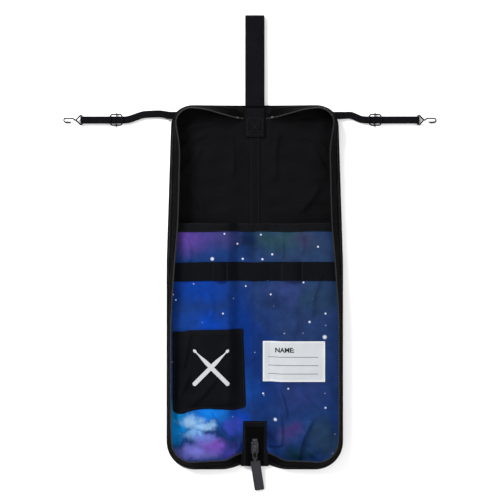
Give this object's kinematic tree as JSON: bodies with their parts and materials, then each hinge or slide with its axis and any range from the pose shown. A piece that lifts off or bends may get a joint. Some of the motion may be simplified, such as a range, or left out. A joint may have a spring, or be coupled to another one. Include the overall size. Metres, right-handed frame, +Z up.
{
  "type": "drum stick bag",
  "caption": "Fold-out padded stick bag lying open: book spine, stick pockets, key pouch, zipper round the edge, carry loop and side straps with hooks.",
  "frame": {"origin": "on the surface the open bag lies on, under the middle of the spine", "axes": "+Z up out of the open bag, +Y along the spine towards the carry loop, +X to the right half"},
  "size_m": [0.4952, 0.6306, 0.0286],
  "materials": {
    "printed_fabric": "star-field print on woven polyester",
    "padding": "closed-cell foam sheet",
    "lining_fabric": "black ripstop lining",
    "gusset_fabric": "black woven polyester",
    "binding_tape": "black ribbed binding",
    "zipper_tape": "black woven zipper tape",
    "zipper_coil": "black coil",
    "webbing": "black webbing",
    "black_wire": "black coated wire",
    "slider_metal": "gunmetal",
    "stop_metal": "crimped metal",
    "grip_rubber": "moulded rubber",
    "label_satin": "woven satin label"
  },
  "bodies": {
    "left_half": {"left_shell": "printed_fabric", "left_foam": "padding", "left_lining": "lining_fabric", "left_edge_binding": "binding_tape", "left_gusset": "gusset_fabric", "left_zipper_tape": "zipper_tape", "left_zipper_coil": "zipper_coil", "left_top_stop": "stop_metal", "left_stick_pocket": "printed_fabric", "left_pocket_hem": "binding_tape", "left_organiser_band": "webbing", "left_strap_anchor": "webbing", "left_key_pocket": "lining_fabric", "left_key_pocket_hem": "binding_tape"},
    "spine": {"spine_shell": "printed_fabric", "spine_foam": "padding", "spine_lining": "lining_fabric", "pocket_seam_strip": "printed_fabric", "spine_binding": "binding_tape", "loop_anchor": "webbing", "tail_patch": "binding_tape", "tail_tape": "zipper_tape", "tail_coil": "zipper_coil", "bottom_stop": "stop_metal"},
    "right_half": {"right_shell": "printed_fabric", "right_foam": "padding", "right_lining": "lining_fabric", "right_edge_binding": "binding_tape", "right_gusset": "gusset_fabric", "right_zipper_tape": "zipper_tape", "right_zipper_coil": "zipper_coil", "right_top_stop": "stop_metal", "right_stick_pocket": "printed_fabric", "right_pocket_hem": "binding_tape", "right_organiser_band": "webbing", "right_strap_anchor": "webbing", "right_name_label": "label_satin"},
    "carry_loop": {"carry_loop": "webbing"},
    "slider": {"slider_body": "slider_metal", "slider_bridge": "slider_metal"},
    "pull_link": {"pull_link": "black_wire"},
    "pull_grip": {"pull_grip": "grip_rubber"},
    "left_strap": {"left_strap_webbing": "webbing"},
    "left_strap_end": {"left_strap_loop": "webbing"},
    "left_adjuster": {"left_strap_adjuster": "black_wire"},
    "left_hook": {"left_strap_hook": "black_wire"},
    "right_strap": {"right_strap_webbing": "webbing"},
    "right_strap_end": {"right_strap_loop": "webbing"},
    "right_adjuster": {"right_strap_adjuster": "black_wire"},
    "right_hook": {"right_strap_hook": "black_wire"}
  },
  "joints": [
    {"name": "spine_fold", "type": "hinge", "parent": "left_half", "child": "spine", "pos_m": [-0.02, 0, 0.0046], "axis": [0, -1, 0], "range_deg": [0, 87.5]},
    {"name": "right_fold", "type": "hinge", "parent": "spine", "child": "right_half", "pos_m": [0.02, 0, 0.0046], "axis": [0, -1, 0], "range_deg": [0, 87.5]},
    {"name": "carry_loop_swing", "type": "hinge", "parent": "spine", "child": "carry_loop", "pos_m": [0, 0.2423, 0.0058], "axis": [1, 0, 0], "range_deg": [-80, 80]},
    {"name": "slider_run", "type": "slide", "parent": "spine", "child": "slider", "axis": [0, -1, 0], "range_m": [0, 0.014]},
    {"name": "pull_link_swing", "type": "hinge", "parent": "slider", "child": "pull_link", "pos_m": [0, -0.216, 0.0113], "axis": [1, 0, 0], "range_deg": [-120, 0]},
    {"name": "pull_grip_swing", "type": "hinge", "parent": "pull_link", "child": "pull_grip", "pos_m": [0, -0.228, 0.01], "axis": [1, 0, 0], "range_deg": [-60, 0]},
    {"name": "right_strap_swing", "type": "hinge", "parent": "right_half", "child": "right_strap", "pos_m": [0.112, 0.226, 0.00345], "axis": [0, 0, 1], "range_deg": [-60, 45]},
    {"name": "right_hook_extend", "type": "slide", "parent": "right_strap", "child": "right_strap_end", "axis": [1, 0, 0], "range_m": [0, 0.015]},
    {"name": "right_adjuster_run", "type": "slide", "parent": "right_strap", "child": "right_adjuster", "axis": [1, 0, 0], "range_m": [0, 0.03]},
    {"name": "right_hook_swing", "type": "hinge", "parent": "right_strap_end", "child": "right_hook", "pos_m": [0.216, 0.22, 0.00345], "axis": [0, -1, 0], "range_deg": [-10, 75]},
    {"name": "left_strap_swing", "type": "hinge", "parent": "left_half", "child": "left_strap", "pos_m": [-0.112, 0.226, 0.00345], "axis": [0, 0, 1], "range_deg": [-45, 60]},
    {"name": "left_hook_extend", "type": "slide", "parent": "left_strap", "child": "left_strap_end", "axis": [-1, 0, 0], "range_m": [0, 0.013]},
    {"name": "left_adjuster_run", "type": "slide", "parent": "left_strap", "child": "left_adjuster", "axis": [-1, 0, 0], "range_m": [0, 0.026]},
    {"name": "left_hook_swing", "type": "hinge", "parent": "left_strap_end", "child": "left_hook", "pos_m": [-0.229, 0.22, 0.00345], "axis": [0, 1, 0], "range_deg": [-10, 75]}
  ],
  "couplings": [
    {"joint": "right_fold", "follows": "spine_fold", "ratio": 1},
    {"joint": "right_adjuster_run", "follows": "right_hook_extend", "ratio": 2},
    {"joint": "left_adjuster_run", "follows": "left_hook_extend", "ratio": 2}
  ]
}
